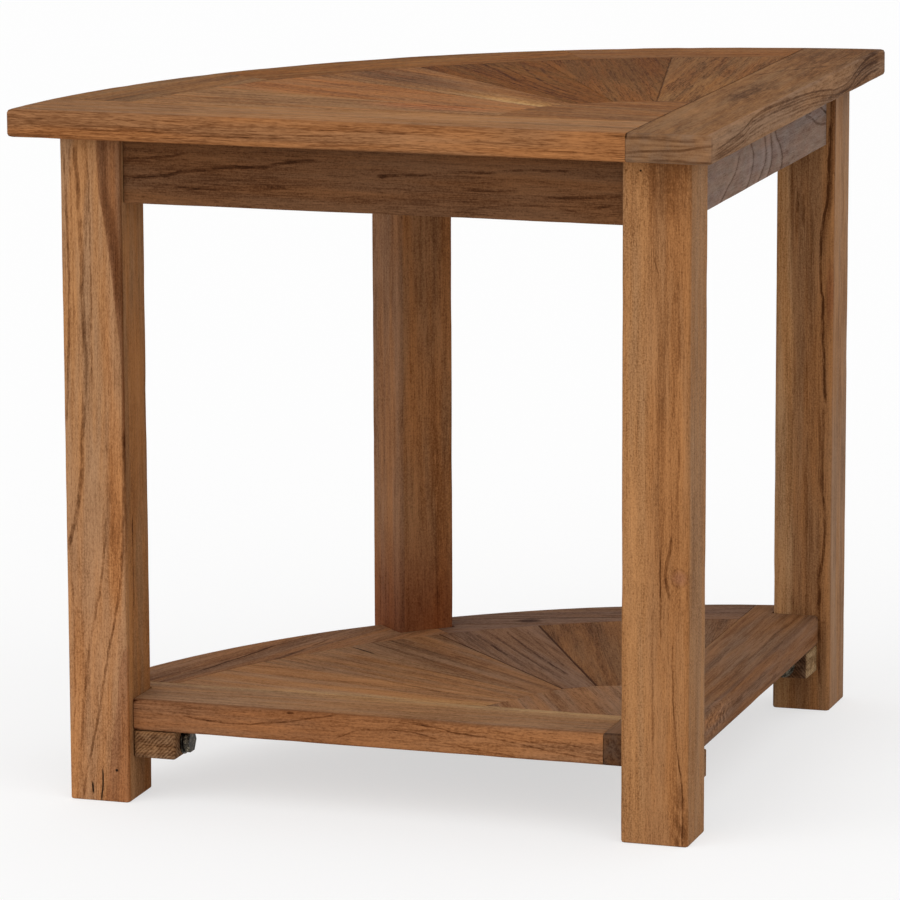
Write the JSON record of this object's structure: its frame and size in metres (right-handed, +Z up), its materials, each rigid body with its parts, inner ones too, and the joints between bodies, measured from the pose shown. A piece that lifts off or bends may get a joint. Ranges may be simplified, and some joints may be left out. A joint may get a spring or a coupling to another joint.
{
  "type": "corner side table",
  "caption": "Quarter-round wooden corner side table: a fan-laid top and a fan-laid lower shelf on square legs, with rails under the top.",
  "frame": {"origin": "bottom centre of the whole table's box, on the floor", "axes": "+X to the right along the straight front edge, +Y back along the straight right edge, +Z up; the right-angled corner is at +X, -Y"},
  "size_m": [0.56, 0.56, 0.55],
  "materials": {
    "teak_leg": "oiled reclaimed teak, satin, eased edges",
    "teak_rail": "oiled reclaimed teak, dark, satin",
    "teak_top": "oiled reclaimed teak, satin, boards of mixed tone",
    "teak_shelf": "oiled reclaimed teak, satin, boards of mixed tone",
    "teak_cleat": "rough-sawn teak",
    "plated_steel": "plated, dulled"
  },
  "bodies": {
    "root": {"corner_leg": "teak_leg", "corner_cleat": "teak_cleat", "corner_cleat_bolt": "plated_steel", "corner_cleat_washer": "plated_steel", "corner_shelf_screw": "plated_steel", "left_leg": "teak_leg", "left_cleat": "teak_cleat", "left_cleat_bolt": "plated_steel", "left_cleat_washer": "plated_steel", "left_shelf_screw": "plated_steel", "right_leg": "teak_leg", "right_cleat": "teak_cleat", "right_cleat_bolt": "plated_steel", "right_cleat_washer": "plated_steel", "right_shelf_screw": "plated_steel", "back_leg": "teak_leg", "back_cleat": "teak_cleat", "back_cleat_bolt": "plated_steel", "back_cleat_washer": "plated_steel", "back_shelf_screw": "plated_steel", "front_rail": "teak_rail", "right_rail": "teak_rail", "back_left_rail": "teak_rail", "back_right_rail": "teak_rail", "top_front_board": "teak_top", "top_right_board": "teak_top", "top_band_left": "teak_top", "top_band_middle": "teak_top", "top_band_right": "teak_top", "top_ray_1": "teak_top", "top_ray_2": "teak_top", "top_ray_3": "teak_top", "top_ray_4": "teak_top", "top_ray_5": "teak_top", "top_ray_6": "teak_top", "top_fan_centre": "teak_top", "shelf_front_board": "teak_shelf", "shelf_right_board": "teak_shelf", "shelf_band_left": "teak_shelf", "shelf_band_right": "teak_shelf", "shelf_ray_1": "teak_shelf", "shelf_ray_2": "teak_shelf", "shelf_ray_3": "teak_shelf", "shelf_ray_4": "teak_shelf", "shelf_ray_5": "teak_shelf", "shelf_ray_6": "teak_shelf", "shelf_fan_centre": "teak_shelf", "top_screw_1": "plated_steel", "top_screw_2": "plated_steel", "top_screw_3": "plated_steel", "top_screw_4": "plated_steel", "top_screw_5": "plated_steel", "top_screw_6": "plated_steel", "top_screw_7": "plated_steel", "top_screw_8": "plated_steel"}
  },
  "joints": []
}
